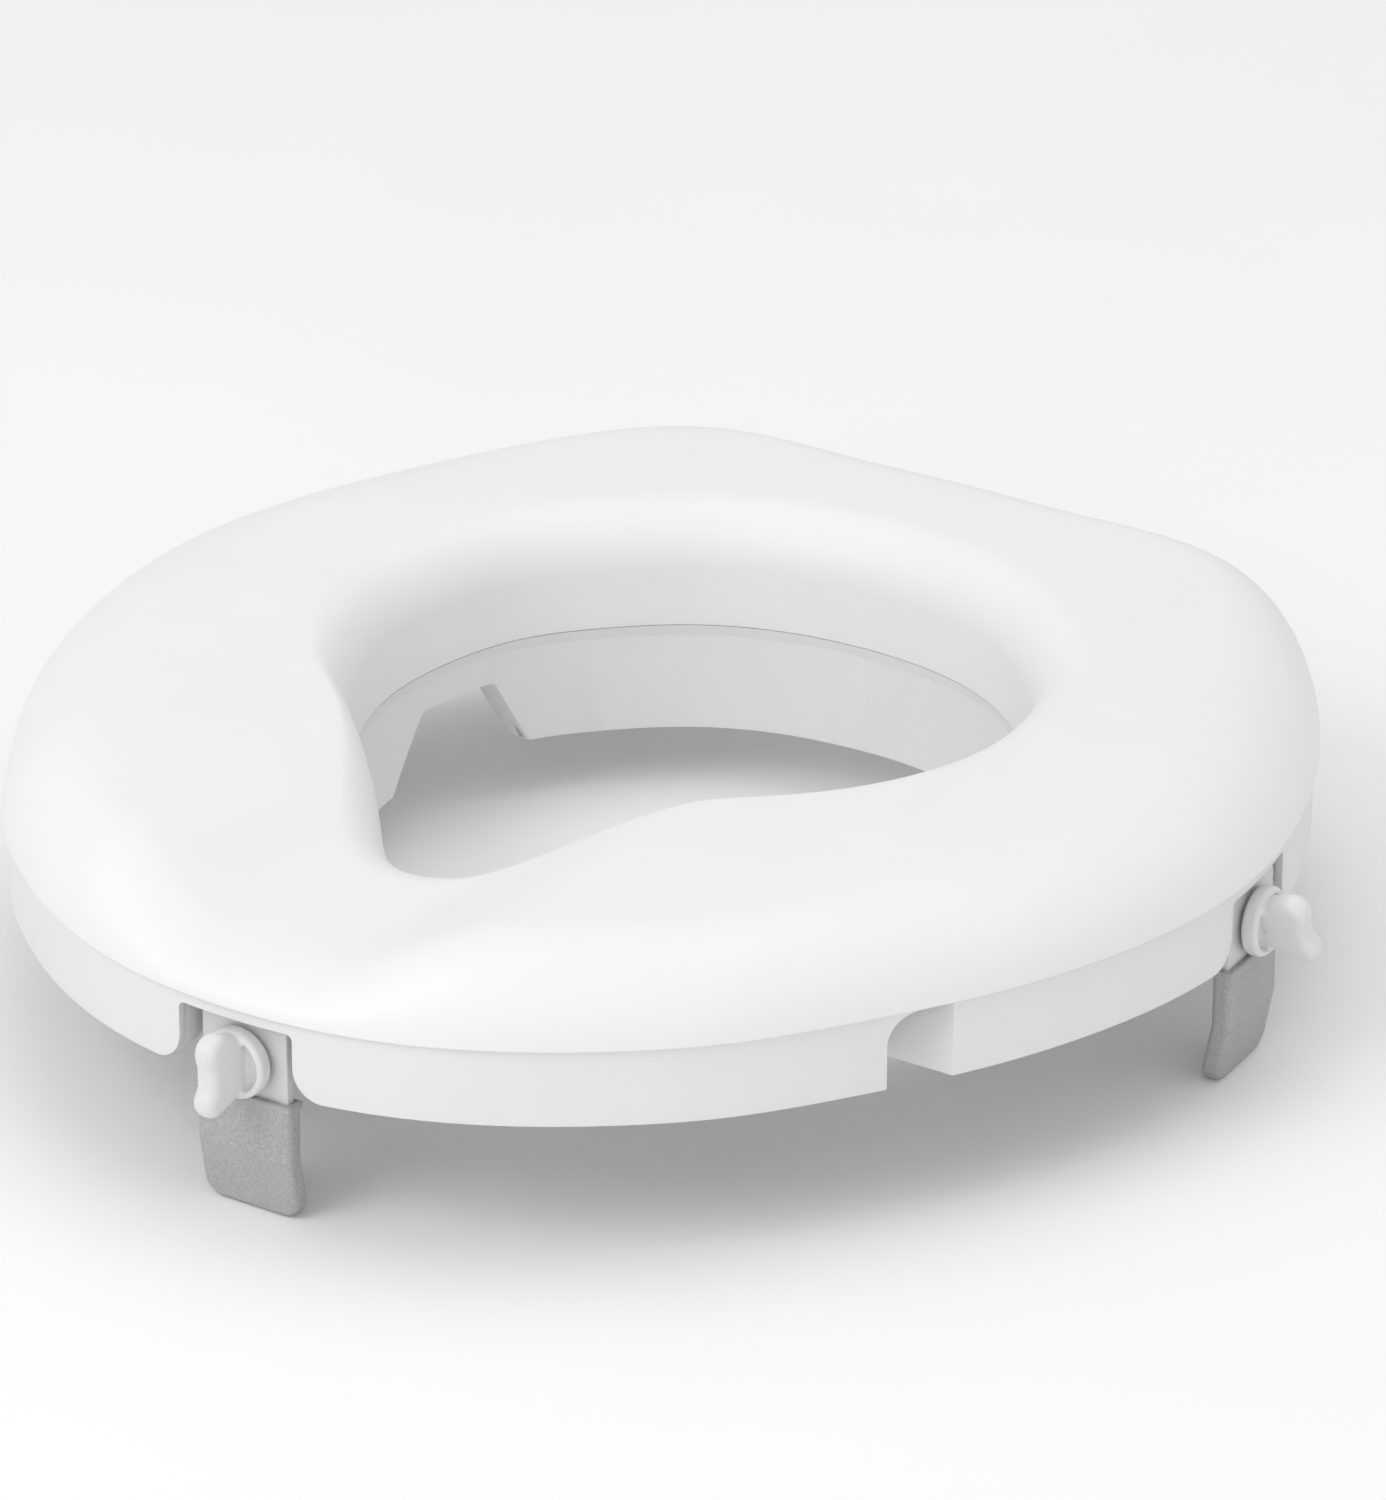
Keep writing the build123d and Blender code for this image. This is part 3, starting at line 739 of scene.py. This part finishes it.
def guard_face_x(y):
    """How far from the middle the splash guard's inner face is at y, beside the hole."""
    low, high = 30.0, 130.0
    for _ in range(HALVINGS):
        bearing = (low + high) / 2
        radius = float(hole_at(bearing)) + GUARD_OFFSET
        if CENTRE_Y + radius * cos(radians(bearing)) > y:
            low = bearing
        else:
            high = bearing
    return radius * sin(radians(bearing))


def window_walls():
    """Walls that run outwards round each window of the splash guard."""
    y = [CENTRE_Y + v for v in WINDOW_Y]
    foot, head = -GUARD_BOTTOM, -WINDOW_TOP
    corners = [(y[0], foot), (y[1], head), (y[2], head), (y[3], foot)]
    path = [corners[0]]
    for k in (1, 2):
        path += arc_at(corners[k - 1], corners[k], corners[k + 1], WINDOW_CORNER)
    path.append(corners[3])
    starts = [-guard_face_x(across) - WINDOW_LAP for across, _ in path]
    made = []
    for side in (1, -1):

        def to_world(p, side=side):
            return Vector((-side * p.x, p.y, PARTING + p.z))

        label = f"window_wall_{side}"
        made.append(return_wall(label, path, WINDOW_WALL, starts, WINDOW_DEPTH, to_world))
    return made


def build_fittings():
    """The remaining pieces, with their edges broken as moulded or stamped pieces have them."""
    base = softened("base_ring", 0.7, 3)
    for extra in [guard_bead()] + notch_cheeks() + window_walls():
        add_mesh(base, extra)
    for name in CLAMPS:
        softened(f"bracket_{name}", 0.45, 3)
        softened(f"washer_{name}", 0.15)
        softened(f"retaining_clip_{name}", 0.2)
        softened(f"captive_nut_{name}", 0.3)
        softened(f"guide_block_{name}", 0.5)
        build_knob(name)
        build_sleeve(name)
        build_stud(name)
    softened("guide_screws", 0.25)
    softened("assembly_screws", 0.25)
    for node in frame["nodes"]:
        if node.startswith("rim_buffer"):
            softened(node, 0.5, 3)


# ---------------------------------------------------------------- stage, light and camera
def build_floor():
    size = 3.0
    floor = new_object(
        "floor",
        [(-size, -size, 0), (size, -size, 0), (size, size, 0), (-size, size, 0)],
        [(0, 1, 2, 3)],
        smooth=False,
    )
    material, tree, shader = node_material("floor_paper")
    coords = tree.nodes.new("ShaderNodeTexCoord").outputs["Object"]
    tree.links.new(
        ramp(tree, noise(tree, coords, 3.0), (0.90, 0.90, 0.90), (0.92, 0.92, 0.92)),
        shader.inputs["Base Color"],
    )
    shader.inputs["Roughness"].default_value = 0.9
    dress(floor, material)


def area_light(name, place, target, size, power):
    data = bpy.data.lights.new(name, "AREA")
    data.shape = "DISK"
    data.size = size
    data.energy = power
    lamp = link_object(name, data)
    lamp.location = place
    lamp.rotation_euler = (Vector(target) - Vector(place)).to_track_quat("-Z", "Y").to_euler()


def build_light():
    target = (0, 0, 0.06)
    area_light("key", (-0.6, -1.7, 1.6), target, size=1.4, power=15)
    area_light("top", (0.2, 0.4, 2.2), target, size=2.0, power=9)
    area_light("fill", (1.4, -1.9, 0.9), target, size=1.6, power=6)
    world = bpy.data.worlds.new("studio")
    world.use_nodes = True
    world.node_tree.nodes["Background"].inputs["Color"].default_value = (1, 1, 1, 1)
    world.node_tree.nodes["Background"].inputs["Strength"].default_value = 0.72
    bpy.context.scene.world = world
    bpy.context.scene.view_settings.view_transform = "Standard"


def build_camera():
    """A long lens from the front and the sitter's left, a little above."""
    azimuth, elevation, roll = radians(33.56), radians(24.47), radians(0.22)
    distance, lens, sensor_width = 2.164, 182.4, 36
    aim = Vector((0.0121, 0.0189, 0.0647))
    forward = Vector(
        (-sin(azimuth) * cos(elevation), cos(azimuth) * cos(elevation), -sin(elevation))
    )
    right = Vector((cos(azimuth), sin(azimuth), 0))
    up = right.cross(forward)
    side = cos(roll) * right + sin(roll) * up
    over = -sin(roll) * right + cos(roll) * up
    data = bpy.data.cameras.new("camera")
    data.sensor_width = sensor_width
    data.lens = lens
    data.clip_start = 0.05
    camera = link_object("camera", data)
    turn = Matrix((side, over, -forward)).transposed().to_4x4()
    camera.matrix_world = Matrix.Translation(aim - distance * forward) @ turn
    bpy.context.scene.camera = camera


dress_cad_nodes()
build_seat()
build_fittings()
build_floor()
build_light()
build_camera()
